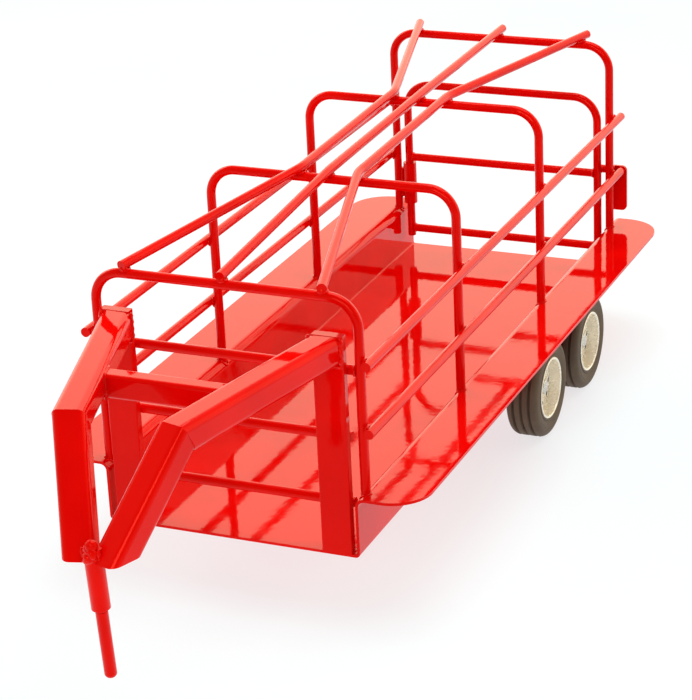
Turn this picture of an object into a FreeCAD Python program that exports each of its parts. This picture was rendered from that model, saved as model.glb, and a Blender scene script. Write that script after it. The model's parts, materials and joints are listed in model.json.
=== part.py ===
"""Toy gooseneck livestock trailer, about one sixteenth of full size, in millimetres.

+Z is up, the nose points to -Y and the gate is at the +Y end. "left" is the trailer's own left, +X.
The origin is on the ground, midway along the overall length.
"""

import FreeCAD, Part
import math
import os
import Sketcher

SIZES = {
    # rod frame
    "rod_dia": 4.0,
    "hoop_width": 112.0,            # leg centre to leg centre
    "hoop_pitch": 105.0,
    "hoop_height_a": 80.5,          # flange top to the centre of the top bar, nose to tail
    "hoop_height_b": 88.5,
    "hoop_height_c": 90.5,
    "hoop_height_d": 91.5,
    "hoop_corner": 12.0,            # bend radius at the rod's centre
    "leg_cope": 1.1,                # how far a leg reaches down over the flange's bend
    "front_place": -104.0,          # Y of the first hoop
    "side_rail_high": 55.0,
    "side_rail_low": 27.0,
    "side_rail_front_lap": 4.0,
    "side_rail_rear_lap": 6.0,
    "roof_rail_inset": 14.0,        # hoop leg to rail at the first and last hoops
    "roof_rail_gather": 13.0,       # centre line to rail at the two middle hoops
    "roof_front_lap": 2.0,
    "roof_rear_lap": 5.0,
    "roof_bend": 25.0,
    "ridge_bend": 100.0,
    # folded pan
    "sheet_gauge": 1.2,
    "trough_depth": 24.5,           # flange top to floor top
    "wall_inset": 1.0,              # hoop leg centre to the outer face of the trough wall
    "flange_overhang": 24.0,        # hoop leg centre to the flange's edge
    "flange_bend": 2.6,
    "floor_bend": 0.8,
    "deck_front_lap": 6.0,          # first hoop to the pan's front edge
    "deck_rear_lap": 12.0,
    "flange_corner_front": 16.0,
    "flange_corner_rear": 18.0,
    # front frame
    "post_width": 12.7,
    "post_gauge": 4.0,
    "post_inset": 10.8,             # hoop leg centre to post centre
    "post_rise": 67.0,              # above the flange top
    "post_edge": 0.5,
    "front_rod_high": 51.5,
    "front_rod_middle": 23.5,
    "front_rod_low": -4.5,
    # gooseneck, its points on the top and front faces, measured from the first hoop and the flange top
    "neck_width": 12.7,
    "neck_depth": 12.0,
    "neck_wall": 1.5,
    "neck_corner": 3.0,
    "neck_root_inset": 1.0,         # post centre to beam centre where they meet
    "neck_root_rise": 66.8,
    "neck_bend_forward": 88.1,
    "neck_bend_side": 20.9,
    "neck_bend_rise": 63.1,
    "neck_foot_forward": 117.5,
    "neck_foot_side": 4.6,
    "neck_foot_rise": 19.5,
    "neck_end_rise": 18.8,          # level cut at the legs' lower ends
    "neck_end_gap": 0.8,            # between the two legs
    "cross_tube_forward": 50.9,
    "cross_tube_width": 7.5,
    "cross_tube_depth": 9.6,
    "cross_tube_drop": 2.5,         # beam's top face to the tube's top face
    # coupler
    "pin_dia": 4.76,
    "pin_lean": 5.1,                # degrees, tip towards the tail
    "pin_forward": 112.5,           # first hoop to the pin's axis at the height of the flange top
    "pin_reach": 29.2,              # sleeve end to pin tip
    "pin_tip": 1.8,
    "pin_shank_dia": 4.0,           # inside the sleeve
    "pin_relief": 0.6,              # shank that shows below the sleeve
    "coupler_dia": 7.2,
    "coupler_length": 26.0,
    "coupler_drop": 2.1,            # sleeve's lower end below the flange top, along the axis
    "coupler_chamfer": 0.8,
    # wheels
    "tyre_dia": 45.0,
    "tyre_width": 15.0,
    "tyre_shoulder": 2.0,
    "groove_width": 1.3,
    "groove_depth": 1.6,
    "rim_dia": 28.0,
    "rim_wall": 1.2,
    "rim_inset": 0.7,               # tyre side to rim lip
    "dish_front": 1.9,              # dish face at the barrel, outboard of the wheel's middle
    "dish_rise": 0.7,               # outboard lean of the dish between barrel and hub
    "dish_gauge": 1.1,
    "hub_dia": 8.0,
    "hub_front": 2.8,
    "hub_back": 4.0,
    "rim_hole_dia": 2.6,
    "rim_hole_circle": 17.0,
    "axle_dia": 4.8,
    "axle_play": 0.05,
    "axle_spacing": 57.0,
    "axle_from_tail": 92.0,         # pan's rear edge to the rear axle
    "wheel_gap": 1.8,               # trough wall to tyre
    "cap_play": 0.3,
    "cap_dia": 6.4,
    "cap_gauge": 1.4,
    "cap_edge": 0.6,
    # gate
    "gate_side_gap": 6.3,           # hoop leg centre to gate leg centre
    "gate_setback": 0.3,            # gate plane behind the last hoop's plane
    "gate_floor_gap": 9.2,
    "gate_top_gap": 26.5,           # top bar of the last hoop to the gate's top bar
    "gate_bar_high": 42.0,          # above the gate's feet
    "gate_bar_low": 4.0,
    "hinge_dia": 6.6,
    "hinge_play": 0.05,
    "hinge_length": 21.3,
    "hinge_rise": 17.7,             # gate's feet to the sleeve's lower end
    "web_gauge": 2.0,
    "web_margin": 3.0,
    "latch_arm_rise": 43.3,         # above the gate's feet
    "latch_arm_length": 9.6,
    "latch_gauge": 1.3,
    "latch_width": 8.6,
    "latch_height": 23.0,
    "latch_foot_rise": 21.8,
    "latch_overhang": 5.5,          # latch arm's end to the plate's edge
    "latch_corner": 2.5,
    "latch_hole_dia": 1.8,
    "latch_hole_rise": 13.4,        # above the plate's lower edge
    "latch_seat_dia": 4.4,
    "latch_seat_depth": 0.5,
    "latch_seat_rise": 6.0,
}

FLOOR_UNDER = "(Sizes.tyre_dia / 2 + Sizes.axle_dia / 2)"
FLOOR_TOP = f"({FLOOR_UNDER} + Sizes.sheet_gauge)"
DECK = f"({FLOOR_TOP} + Sizes.trough_depth)"                    # height of the flange's top face
HALF = "(Sizes.hoop_width / 2)"
WALL = f"({HALF} - Sizes.wall_inset)"                           # outer face of the trough wall
POST = f"({HALF} - Sizes.post_inset)"
NOSE_EDGE = "(Sizes.front_place - Sizes.deck_front_lap)"
DECK_LENGTH = "(3 * Sizes.hoop_pitch + Sizes.deck_front_lap + Sizes.deck_rear_lap)"
LAST_HOOP = "(Sizes.front_place + 3 * Sizes.hoop_pitch)"
GATE_FOOT = f"({FLOOR_TOP} + Sizes.gate_floor_gap)"
GATE_HALF = f"({HALF} - Sizes.gate_side_gap)"
GATE_PLANE = f"({LAST_HOOP} + Sizes.gate_setback)"
GATE_HEIGHT = f"({DECK} + Sizes.hoop_height_d - Sizes.gate_top_gap - {GATE_FOOT})"
WHEEL_MIDDLE = f"({WALL} + Sizes.wheel_gap + Sizes.tyre_width / 2)"
SIDES = (("left", 1), ("right", -1))

ALONG_X = FreeCAD.Rotation(FreeCAD.Vector(0, 1, 0), 90)
ALONG_Y = FreeCAD.Rotation(FreeCAD.Vector(1, 0, 0), -90)

doc = FreeCAD.newDocument("livestock_trailer")
sheet = doc.addObject("Spreadsheet::Sheet", "Sizes")
nodes = []


def fill_sheet():
    for row, (name, value) in enumerate(SIZES.items(), start=1):
        sheet.set(f"A{row}", name)
        sheet.set(f"B{row}", str(value))
        sheet.setAlias(f"B{row}", name)
    doc.recompute()


def number(expression):
    """Present value of an expression on the sheet's cells."""
    return float(sheet.evalExpression(str(expression)))


def bind(item, **expressions):
    for name, expression in expressions.items():
        item.setExpression(name, str(expression))


def place(item, x="0", y="0", z="0"):
    for axis, expression in (("x", x), ("y", y), ("z", z)):
        item.setExpression(f"Placement.Base.{axis}", str(expression))


def keep(item):
    """Mark an object as one of the trailer's pieces."""
    nodes.append(item)
    return item


# --- sketches and bodies -------------------------------------------------------------------------

def new_sketch(body, plane, name):
    sketch = body.newObject("Sketcher::SketchObject", name)
    origin_plane = next(item for item in body.Origin.OriginFeatures if item.Role == plane)
    sketch.AttachmentSupport = [(origin_plane, "")]
    sketch.MapMode = "FlatFace"
    return sketch


def pin_point(sketch, edge, end, x, y):
    """Hold an edge's end at a place that follows the sheet."""
    for kind, expression in (("DistanceX", x), ("DistanceY", y)):
        rule = Sketcher.Constraint(kind, -1, 1, edge, end, number(expression))
        sketch.setExpression(f"Constraints[{sketch.addConstraint(rule)}]", str(expression))


def draw_outline(sketch, corners):
    """Closed outline of straight lines through corners given as pairs of expressions."""
    spots = [FreeCAD.Vector(number(x), number(y), 0) for x, y in corners]
    for index, spot in enumerate(spots):
        sketch.addGeometry(Part.LineSegment(spot, spots[(index + 1) % len(spots)]))
    for index, (x, y) in enumerate(corners):
        sketch.addConstraint(Sketcher.Constraint("Coincident", index - 1 if index else len(corners) - 1, 2,
                                                 index, 1))
        pin_point(sketch, index, 1, x, y)


def draw_circle(sketch, x, y, diameter):
    centre = FreeCAD.Vector(number(x), number(y), 0)
    edge = sketch.addGeometry(Part.Circle(centre, FreeCAD.Vector(0, 0, 1), number(diameter) / 2))
    pin_point(sketch, edge, 3, x, y)
    rule = sketch.addConstraint(Sketcher.Constraint("Diameter", edge, number(diameter)))
    sketch.setExpression(f"Constraints[{rule}]", str(diameter))


def new_body(label):
    return doc.addObject("PartDesign::Body", label)


def pad(body, sketch, length, **settings):
    feature = body.newObject("PartDesign::Pad", f"{body.Name}_pad")
    feature.Profile = sketch
    bind(feature, Length=length)
    for name, value in settings.items():
        setattr(feature, name, value)
    doc.recompute()
    return feature


def pocket(body, sketch, depth=None, **settings):
    feature = body.newObject("PartDesign::Pocket", f"{body.Name}_pocket")
    feature.Profile = sketch
    if depth is None:
        feature.Type = "ThroughAll"
    else:
        bind(feature, Length=depth)
    for name, value in settings.items():
        setattr(feature, name, value)
    doc.recompute()
    return feature


def round_edges(body, base, radius, wanted):
    """Round the edges of a feature for which wanted(edge) holds."""
    names = [f"Edge{index}" for index, edge in enumerate(base.Shape.Edges, start=1) if wanted(edge)]
    feature = body.newObject("PartDesign::Fillet", f"{body.Name}_round")
    feature.Base = (base, names)
    bind(feature, Radius=radius)
    doc.recompute()
    return feature


def runs_along(edge, direction):
    if edge.Curve.TypeId != "Part::GeomLine":
        return False
    return abs(edge.tangentAt(edge.FirstParameter).dot(direction)) > 0.99


def turn(body, outline):
    """Solid of revolution about the body's X axis; corners are (along the axis, radius)."""
    sketch = new_sketch(body, "XZ_Plane", f"{body.Name}_section")
    draw_outline(sketch, outline)
    feature = body.newObject("PartDesign::Revolution", f"{body.Name}_turned")
    feature.Profile = sketch
    feature.ReferenceAxis = (sketch, ["H_Axis"])
    feature.Angle = 360
    doc.recompute()
    return feature


# --- rods ----------------------------------------------------------------------------------------

def rod(label, direction, length, x, y, z, diameter="Sizes.rod_dia"):
    """Straight round rod that starts at a point and runs along +X or +Y."""
    item = doc.addObject("Part::Cylinder", label)
    item.Placement.Rotation = direction
    bind(item, Radius=f"{diameter} / 2", Height=length)
    place(item, x, y, z)
    return item


def bent_frame(label, half, height):
    """Upside-down U of rod whose feet are at height 0, with a bend at each upper corner."""
    body = new_body(label)
    path = new_sketch(body, "XZ_Plane", f"{label}_path")
    side, top, bend = number(half), number(height), number("Sizes.hoop_corner")
    up, across = FreeCAD.Vector(0, 1, 0), FreeCAD.Vector(1, 0, 0)

    def corner(sign):
        centre = across * (sign * (side - bend)) + up * (top - bend)
        circle = Part.Circle(centre, FreeCAD.Vector(0, 0, 1), bend)
        first = math.pi / 2 if sign < 0 else 0
        return Part.ArcOfCircle(circle, first, first + math.pi / 2)

    path.addGeometry(Part.LineSegment(across * -side, across * -side + up * (top - bend)))
    path.addGeometry(corner(-1))
    path.addGeometry(Part.LineSegment(across * (bend - side) + up * top, across * (side - bend) + up * top))
    path.addGeometry(corner(1))
    path.addGeometry(Part.LineSegment(across * side + up * (top - bend), across * side))
    for rule in (("Tangent", 0, 2, 1, 2), ("Tangent", 1, 1, 2, 1), ("Tangent", 2, 2, 3, 2),
                 ("Tangent", 3, 1, 4, 1), ("Vertical", 0), ("Horizontal", 2), ("Vertical", 4),
                 ("Equal", 1, 3)):
        path.addConstraint(Sketcher.Constraint(*rule))
    radius = path.addConstraint(Sketcher.Constraint("Radius", 1, bend))
    path.setExpression(f"Constraints[{radius}]", "Sizes.hoop_corner")
    pin_point(path, 0, 1, f"-{half}", "0")
    pin_point(path, 4, 2, half, "0")
    rise = path.addConstraint(Sketcher.Constraint("DistanceY", -1, 1, 2, 1, top))
    path.setExpression(f"Constraints[{rise}]", height)

    profile = new_sketch(body, "XY_Plane", f"{label}_profile")
    draw_circle(profile, f"-{half}", "0", "Sizes.rod_dia")
    pipe = body.newObject("PartDesign::AdditivePipe", f"{label}_pipe")
    pipe.Profile = profile
    pipe.Spine = (path, [f"Edge{index}" for index in range(1, 6)])
    doc.recompute()
    return body


def bent_rod(label, points, bend, diameter):
    """Rod along straight runs joined by arcs."""
    edges = []
    begin = points[0]
    for before, here, after in zip(points, points[1:], points[2:]):
        back, ahead = (before - here).normalize(), (after - here).normalize()
        half_turn = (math.pi - back.getAngle(ahead)) / 2
        setback = bend * math.tan(half_turn)
        inward = (back + ahead).normalize()
        middle = here + inward * (bend / math.cos(half_turn) - bend)
        entry, leave = here + back * setback, here + ahead * setback
        edges += [Part.LineSegment(begin, entry).toShape(), Part.Arc(entry, middle, leave).toShape()]
        begin = leave
    edges.append(Part.LineSegment(begin, points[-1]).toShape())
    ring = Part.Wire([Part.makeCircle(diameter / 2, points[0], points[1] - points[0])])
    item = doc.addObject("Part::Feature", label)
    item.Shape = Part.Wire(edges).makePipeShell([ring], True, False)
    return item


# --- pan, hoops and rails ------------------------------------------------------------------------

def make_deck_pan():
    """One folded sheet: flange, wall, floor, wall, flange, with the flange's top face at height 0."""
    body = new_body("deck_pan")
    gauge, depth = "Sizes.sheet_gauge", "Sizes.trough_depth"
    edge = f"({HALF} + Sizes.flange_overhang)"
    inner = f"({WALL} - {gauge})"
    left_half = [(edge, f"-{gauge}"), (edge, "0"), (inner, "0"), (inner, f"-{depth}")]
    right_half = [(f"-{x}", z) for x, z in reversed(left_half)]
    underside = [(f"-{WALL}", f"-{gauge}"), (f"-{WALL}", f"-{depth} - {gauge}"),
                 (WALL, f"-{depth} - {gauge}"), (WALL, f"-{gauge}")]
    section = new_sketch(body, "XZ_Plane", "deck_section")
    draw_outline(section, left_half + right_half + underside)
    shape = pad(body, section, DECK_LENGTH, Reversed=True)

    def fold(side, height):
        """Picks the pair of lengthwise edges at a distance from the centre line and a height."""
        def wanted(line):
            spot = line.CenterOfMass
            return (runs_along(line, FreeCAD.Vector(0, 1, 0)) and abs(abs(spot.x) - number(side)) < 0.01
                    and abs(spot.z - number(height)) < 0.01)
        return wanted

    def flange_corner(at_tail):
        """Picks the two short upright edges at one end of the flanges."""
        def wanted(line):
            spot = line.CenterOfMass
            return (runs_along(line, FreeCAD.Vector(0, 0, 1)) and abs(abs(spot.x) - number(edge)) < 0.01
                    and (spot.y > number(DECK_LENGTH) / 2) == at_tail)
        return wanted

    shape = round_edges(body, shape, f"Sizes.flange_bend + {gauge}", fold(inner, "0"))
    shape = round_edges(body, shape, "Sizes.flange_bend", fold(WALL, f"-{gauge}"))
    shape = round_edges(body, shape, "Sizes.floor_bend", fold(inner, f"-{depth}"))
    shape = round_edges(body, shape, f"Sizes.floor_bend + {gauge}", fold(WALL, f"-{depth} - {gauge}"))
    shape = round_edges(body, shape, "Sizes.flange_corner_front", flange_corner(False))
    round_edges(body, shape, "Sizes.flange_corner_rear", flange_corner(True))
    place(body, y=NOSE_EDGE, z=DECK)
    return keep(body)


def make_hoops(pan):
    """Four hoops whose feet are coped to the pan's bend."""
    hoops = []
    for index, letter in enumerate("abcd"):
        blank = bent_frame(f"hoop_{letter}_blank", HALF, f"(Sizes.hoop_height_{letter} + Sizes.leg_cope)")
        place(blank, y=f"Sizes.front_place + {index} * Sizes.hoop_pitch", z=f"{DECK} - Sizes.leg_cope")
        hoop = doc.addObject("Part::Cut", f"hoop_{index + 1}")
        hoop.Base, hoop.Tool = blank, pan
        hoops.append(keep(hoop))
    return hoops


def make_side_rails():
    """Two rods along each side, outside the hoop legs."""
    length = "3 * Sizes.hoop_pitch + Sizes.side_rail_front_lap + Sizes.side_rail_rear_lap"
    for side, sign in SIDES:
        for name, height in (("upper", "Sizes.side_rail_high"), ("lower", "Sizes.side_rail_low")):
            keep(rod(f"side_rail_{side}_{name}", ALONG_Y, length, x=f"{sign} * ({HALF} + Sizes.rod_dia)",
                     y="Sizes.front_place - Sizes.side_rail_front_lap", z=f"{DECK} + {height}"))


def make_roof_rails():
    """Three rods on top of the hoops; the outer two draw in over the middle hoops."""
    pitch = number("Sizes.hoop_pitch")
    spread = number(f"{HALF} - Sizes.roof_rail_inset")
    gather = number("Sizes.roof_rail_gather")
    across = (spread, gather, gather, spread)
    for name, share, bend in (("left", 1, "roof_bend"), ("middle", 0, "ridge_bend"),
                              ("right", -1, "roof_bend")):
        rests = [FreeCAD.Vector(share * x, number("Sizes.front_place") + index * pitch,
                                number(f"{DECK} + Sizes.hoop_height_{letter} + Sizes.rod_dia"))
                 for index, (x, letter) in enumerate(zip(across, "abcd"))]
        front = rests[0] + (rests[0] - rests[1]) * (number("Sizes.roof_front_lap") / pitch)
        rear = rests[3] + (rests[3] - rests[2]) * (number("Sizes.roof_rear_lap") / pitch)
        keep(bent_rod(f"roof_rail_{name}", [front, *rests[1:3], rear], number(f"Sizes.{bend}"),
                      number("Sizes.rod_dia")))


# --- front frame and gooseneck -------------------------------------------------------------------

def make_front_frame():
    """Two flat posts that stand on the floor's front edge, and three rods behind them."""
    for side, sign in SIDES:
        body = new_body(f"front_post_{side}")
        section = new_sketch(body, "XY_Plane", f"front_post_{side}_section")
        reach = "Sizes.post_width / 2"
        draw_outline(section, [(f"-{reach}", "0"), (reach, "0"), (reach, "Sizes.post_gauge"),
                               (f"-{reach}", "Sizes.post_gauge")])
        bar = pad(body, section, "Sizes.trough_depth + Sizes.post_rise")
        round_edges(body, bar, "Sizes.post_edge", lambda edge: runs_along(edge, FreeCAD.Vector(0, 0, 1)))
        place(body, x=f"{sign} * {POST}", y=NOSE_EDGE, z=FLOOR_TOP)
        keep(body)

    behind_posts = f"{NOSE_EDGE} + Sizes.post_gauge + Sizes.rod_dia / 2"
    between_hoop_legs = f"({HALF} - Sizes.rod_dia / 2)"
    over_posts = f"({POST} + Sizes.post_width / 2)"
    for name, half, height in (("upper", between_hoop_legs, "Sizes.front_rod_high"),
                               ("middle", over_posts, "Sizes.front_rod_middle"),
                               ("lower", over_posts, "Sizes.front_rod_low")):
        keep(rod(f"front_rod_{name}", ALONG_X, f"2 * {half}", x=f"-{half}", y=behind_posts,
                 z=f"{DECK} + {height}"))


def square_tube(label, width, depth, length, corner="Sizes.neck_corner"):
    """Tube along +Z whose top face is at Y = 0 and whose middle is at X = 0, with rounded long edges."""
    body = new_body(label)
    wall = "Sizes.neck_wall"
    outer = new_sketch(body, "XY_Plane", f"{label}_outer")
    draw_outline(outer, [(f"-{width} / 2", f"-{depth}"), (f"{width} / 2", f"-{depth}"),
                         (f"{width} / 2", "0"), (f"-{width} / 2", "0")])
    bar = pad(body, outer, length)
    round_edges(body, bar, corner, lambda edge: runs_along(edge, FreeCAD.Vector(0, 0, 1)))
    inner = new_sketch(body, "XY_Plane", f"{label}_inner")
    draw_outline(inner, [(f"{wall} - {width} / 2", f"{wall} - {depth}"),
                         (f"{width} / 2 - {wall}", f"{wall} - {depth}"),
                         (f"{width} / 2 - {wall}", f"-{wall}"), (f"{wall} - {width} / 2", f"-{wall}")])
    pocket(body, inner, Reversed=True)
    return body


def beyond(label, point, normal):
    """Block whose near face passes through a point and which lies on the normal's side of it."""
    block = doc.addObject("Part::Box", label)
    reach = 4 * number("Sizes.neck_bend_forward")
    block.Length = block.Width = block.Height = reach
    turned = FreeCAD.Rotation(FreeCAD.Vector(0, 0, 1), normal)
    middle = turned.multVec(FreeCAD.Vector(reach / 2, reach / 2, 0))
    block.Placement = FreeCAD.Placement(point - middle, turned)
    return block


def trim(label, stock, blocks):
    """Stock with everything beyond the blocks' near faces cut away."""
    item = stock
    for index, block in enumerate(blocks):
        cut = doc.addObject("Part::Cut", label if index == len(blocks) - 1 else f"{label}_cut_{index + 1}")
        cut.Base, cut.Tool = item, block
        item = cut
    return item


def neck_spots(sign):
    """Root, bend and foot of one side, on the middle line of its top and front faces."""
    front, deck = number("Sizes.front_place"), number(DECK)
    root = FreeCAD.Vector(sign * number(f"{POST} - Sizes.neck_root_inset"), number(NOSE_EDGE),
                          deck + number("Sizes.neck_root_rise"))
    bend, foot = (FreeCAD.Vector(sign * number(f"Sizes.neck_{name}_side"),
                                 front - number(f"Sizes.neck_{name}_forward"),
                                 deck + number(f"Sizes.neck_{name}_rise")) for name in ("bend", "foot"))
    return root, bend, foot


def lean_coupler(item, to_axis=FreeCAD.Rotation()):
    """Stands an item on the coupler's leaning axis, its origin at the height of the flange top."""
    lean = FreeCAD.Rotation(FreeCAD.Vector(1, 0, 0), number("Sizes.pin_lean"))
    item.Placement.Rotation = lean.multiply(to_axis)
    place(item, y="Sizes.front_place - Sizes.pin_forward", z=DECK)


def coupler_space(label):
    """Cylinder that the sleeve fills, to cut the legs to its shape."""
    space = doc.addObject("Part::Cylinder", label)
    bind(space, Radius="Sizes.coupler_dia / 2", Height="Sizes.coupler_length - Sizes.coupler_drop")
    lean_coupler(space)
    return space


def make_gooseneck():
    """On each side a sloping beam and a mitred leg of square tube, joined by a cross tube."""
    overrun = number("Sizes.neck_depth") * 2
    inner_faces = []
    for side, sign in SIDES:
        root, bend, foot = neck_spots(sign)
        forward, down = (bend - root).normalize(), (foot - bend).normalize()
        across = forward.cross(FreeCAD.Vector(0, 0, 1)).normalize()
        fold = (forward + (down - across * down.dot(across)).normalize()).normalize()

        beam = square_tube(f"neck_beam_{side}_stock", "Sizes.neck_width", "Sizes.neck_depth",
                           (bend - root).Length + 2 * overrun)
        top_out = across.cross(forward)
        beam.Placement = FreeCAD.Placement(root - forward * overrun,
                                           FreeCAD.Rotation(across, top_out, forward, "ZYX"))
        post_face = beyond(f"neck_beam_{side}_post_face", root, FreeCAD.Vector(0, 1, 0))
        mitre = beyond(f"neck_beam_{side}_mitre", bend, fold)
        keep(trim(f"neck_beam_{side}", beam, (post_face, mitre)))

        leg = square_tube(f"neck_leg_{side}_stock", "Sizes.neck_width", "Sizes.neck_depth",
                          (foot - bend).Length + 2 * overrun)
        leg_across = (across - down * across.dot(down)).normalize()
        leg.Placement = FreeCAD.Placement(bend - down * overrun,
                                          FreeCAD.Rotation(leg_across, leg_across.cross(down), down, "ZYX"))
        mitre = beyond(f"neck_leg_{side}_mitre", bend, fold * -1)
        end_height = number(f"{DECK} + Sizes.neck_end_rise")
        end = FreeCAD.Vector(sign * number("Sizes.neck_end_gap") / 2, foot.y, end_height)
        level_end = beyond(f"neck_leg_{side}_end", end, FreeCAD.Vector(0, 0, -1))
        other_leg = beyond(f"neck_leg_{side}_gap", end, FreeCAD.Vector(-sign, 0, 0))
        cope = coupler_space(f"neck_leg_{side}_cope")
        keep(trim(f"neck_leg_{side}", leg, (mitre, level_end, other_leg, cope)))

        inward = across * (-1 if across.x * sign > 0 else 1)
        inner_faces.append(beyond(f"cross_tube_{side}_face",
                                  root + inward * (number("Sizes.neck_width") / 2), inward * -1))

    root, bend, foot = neck_spots(1)
    share = number("Sizes.cross_tube_forward - Sizes.deck_front_lap") / (root.y - bend.y)
    top = root.z + (bend.z - root.z) * share - number("Sizes.cross_tube_drop")
    length = 2 * root.x
    tube = square_tube("cross_tube_stock", "Sizes.cross_tube_width", "Sizes.cross_tube_depth", length,
                       corner="Sizes.neck_corner / 2")
    tube.Placement = FreeCAD.Placement(
        FreeCAD.Vector(-length / 2, number("Sizes.front_place - Sizes.cross_tube_forward"), top),
        FreeCAD.Rotation(FreeCAD.Vector(0, 1, 0), FreeCAD.Vector(0, 0, 1), FreeCAD.Vector(1, 0, 0), "ZYX"))
    keep(trim("neck_cross_tube", tube, inner_faces))


def make_coupler():
    """Sleeve held between the neck's legs and the drop pin whose thinner shank fills it, both leaning."""
    radius, shank = "Sizes.pin_dia / 2", "Sizes.pin_shank_dia / 2"
    outer = "Sizes.coupler_dia / 2"
    chamfer = "Sizes.coupler_chamfer"
    low, high = "-Sizes.coupler_drop", "(Sizes.coupler_length - Sizes.coupler_drop)"
    sleeve = new_body("coupler_sleeve")
    turn(sleeve, [(low, shank), (low, f"{outer} - {chamfer}"), (f"{low} + {chamfer}", outer), (high, outer),
                  (high, shank)])
    pin = new_body("coupler_pin")
    tip, shoulder = f"({low} - Sizes.pin_reach)", f"({low} - Sizes.pin_relief)"
    shaft = turn(pin, [(tip, "0"), (tip, radius), (shoulder, radius), (shoulder, shank), (high, shank),
                       (high, "0")])
    lowest = number(tip)
    round_edges(pin, shaft, "Sizes.pin_tip", lambda edge: abs(edge.CenterOfMass.x - lowest) < 0.01
                and edge.Curve.TypeId == "Part::GeomCircle")
    for item in (sleeve, pin):
        lean_coupler(item, FreeCAD.Rotation(FreeCAD.Vector(0, 1, 0), -90))
        keep(item)


# --- wheels --------------------------------------------------------------------------------------

def tyre_outline():
    """Half section of a tyre with evenly spaced tread grooves."""
    side, tread = "Sizes.tyre_width / 2", "Sizes.tyre_dia / 2"
    bottom = f"{tread} - Sizes.groove_depth"
    grooves = 3
    corners = [(f"-{side}", "Sizes.rim_dia / 2"), (f"-{side}", tread)]
    for index in range(grooves):
        middle = f"Sizes.tyre_width * {index - (grooves - 1) / 2} / {grooves + 1}"
        start, finish = f"{middle} - Sizes.groove_width / 2", f"{middle} + Sizes.groove_width / 2"
        corners += [(start, tread), (start, bottom), (finish, bottom), (finish, tread)]
    return corners + [(side, tread), (side, "Sizes.rim_dia / 2")]


def rim_outline():
    """Half section of a rim: barrel, leaning dish and hub, outboard towards +X."""
    lip = "(Sizes.tyre_width / 2 - Sizes.rim_inset)"
    outer, inner = "Sizes.rim_dia / 2", "(Sizes.rim_dia / 2 - Sizes.rim_wall)"
    hub, bore = "Sizes.hub_dia / 2", "(Sizes.axle_dia / 2 + Sizes.axle_play)"
    dish_out, dish_in = "Sizes.dish_front", "(Sizes.dish_front + Sizes.dish_rise)"
    gauge = "Sizes.dish_gauge"
    return [("-Sizes.hub_back", bore), ("-Sizes.hub_back", hub), (f"{dish_in} - {gauge}", hub),
            (f"{dish_out} - {gauge}", inner), (f"-{lip}", inner), (f"-{lip}", outer), (lip, outer),
            (lip, inner), (dish_out, inner), (dish_in, hub), ("Sizes.hub_front", hub),
            ("Sizes.hub_front", bore)]


def make_tyre(label):
    body = new_body(label)
    solid = turn(body, tyre_outline())
    reach, tread = number("Sizes.tyre_width / 2"), number("Sizes.tyre_dia / 2")
    round_edges(body, solid, "Sizes.tyre_shoulder", lambda edge: edge.Curve.TypeId == "Part::GeomCircle"
                and abs(abs(edge.CenterOfMass.x) - reach) < 0.01 and abs(edge.Curve.Radius - tread) < 0.01)
    return body


def make_rim(label):
    holes = 8
    body = new_body(label)
    turn(body, rim_outline())
    section = new_sketch(body, "YZ_Plane", f"{label}_hole")
    draw_circle(section, "0", "Sizes.rim_hole_circle / 2", "Sizes.rim_hole_dia")
    first = pocket(body, section, SideType="Symmetric")
    pattern = body.newObject("PartDesign::PolarPattern", f"{label}_holes")
    pattern.Originals = [first]
    pattern.Axis = (next(item for item in body.Origin.OriginFeatures if item.Role == "X_Axis"), [""])
    pattern.Angle = 360
    pattern.Occurrences = holes
    body.Tip = pattern
    doc.recompute()
    return body


def make_wheels():
    """Two axles welded under the floor, with a wheel and a cap on each end."""
    rear = f"({NOSE_EDGE} + {DECK_LENGTH} - Sizes.axle_from_tail)"
    hub_face = f"({WHEEL_MIDDLE} + Sizes.hub_front)"
    axle_half = f"({hub_face} + Sizes.cap_play)"
    caps = []
    for name, along in (("front", f"{rear} - Sizes.axle_spacing"), ("rear", rear)):
        keep(rod(f"axle_{name}", ALONG_X, f"2 * {axle_half}", x=f"-{axle_half}", y=along,
                 z="Sizes.tyre_dia / 2", diameter="Sizes.axle_dia"))
        for side, sign in SIDES:
            facing = FreeCAD.Rotation(FreeCAD.Vector(0, 0, 1), 0 if sign > 0 else 180)
            for item in (make_rim(f"rim_{name}_{side}"), make_tyre(f"tyre_{name}_{side}")):
                item.Placement.Rotation = facing
                place(item, x=f"{sign} * {WHEEL_MIDDLE}", y=along, z="Sizes.tyre_dia / 2")
                keep(item)
            caps.append(make_cap(f"cap_{name}_{side}", facing, f"{sign} * {axle_half}", along))
    group = doc.addObject("Part::Compound", "axle_caps")
    group.Links = caps
    keep(group)


def make_cap(label, facing, x, y):
    """Round cap on an axle's end, rounded on its outboard face."""
    body = new_body(label)
    solid = turn(body, [("0", "0"), ("0", "Sizes.cap_dia / 2"), ("Sizes.cap_gauge", "Sizes.cap_dia / 2"),
                        ("Sizes.cap_gauge", "0")])
    gauge = number("Sizes.cap_gauge")
    round_edges(body, solid, "Sizes.cap_edge", lambda edge: edge.Curve.TypeId == "Part::GeomCircle"
                and abs(edge.CenterOfMass.x - gauge) < 0.01)
    body.Placement.Rotation = facing
    place(body, x=x, y=y, z="Sizes.tyre_dia / 2")
    return body


# --- gate ----------------------------------------------------------------------------------------

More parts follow.
